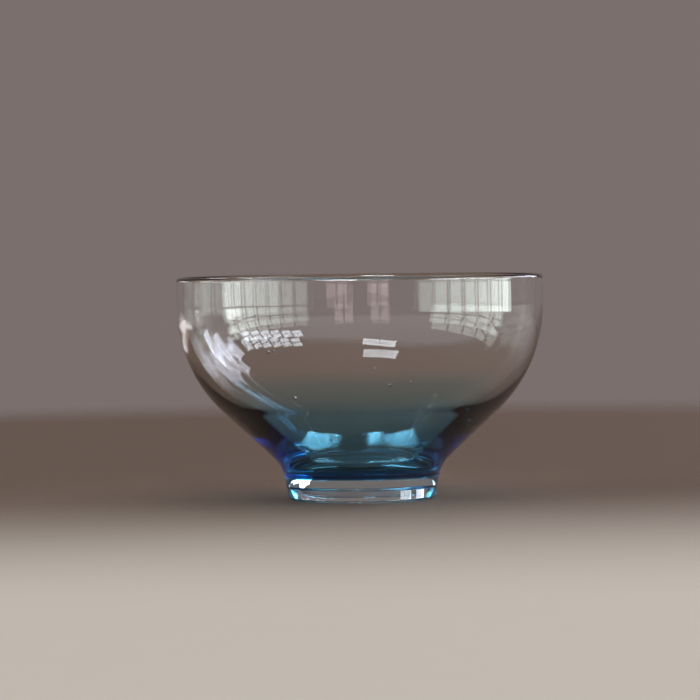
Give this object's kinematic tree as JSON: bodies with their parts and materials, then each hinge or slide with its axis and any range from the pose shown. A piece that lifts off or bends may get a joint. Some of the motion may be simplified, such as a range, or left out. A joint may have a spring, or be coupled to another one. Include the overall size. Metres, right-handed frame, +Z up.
{
  "type": "glass tea bowl",
  "caption": "Round blown-glass tea bowl with upright lip, sloping underside and low ring foot, clear above and blue below, for drinking or whisking tea.",
  "frame": {"origin": "centre of the ring foot's resting face, on the axis of the bowl", "axes": "+Z up along the axis of the bowl; the bowl is round, so X and Y are any two directions square to it"},
  "size_m": [0.12, 0.12, 0.073],
  "materials": {
    "clear_glass": "fire-polished clear soda glass",
    "blue_glass": "transparent blue soda glass",
    "foot_glass": "clear soda glass, ground flat where it rests"
  },
  "bodies": {
    "root": {"clear_bowl": "clear_glass", "blue_overlay": "blue_glass", "clear_foot": "foot_glass"}
  },
  "joints": []
}
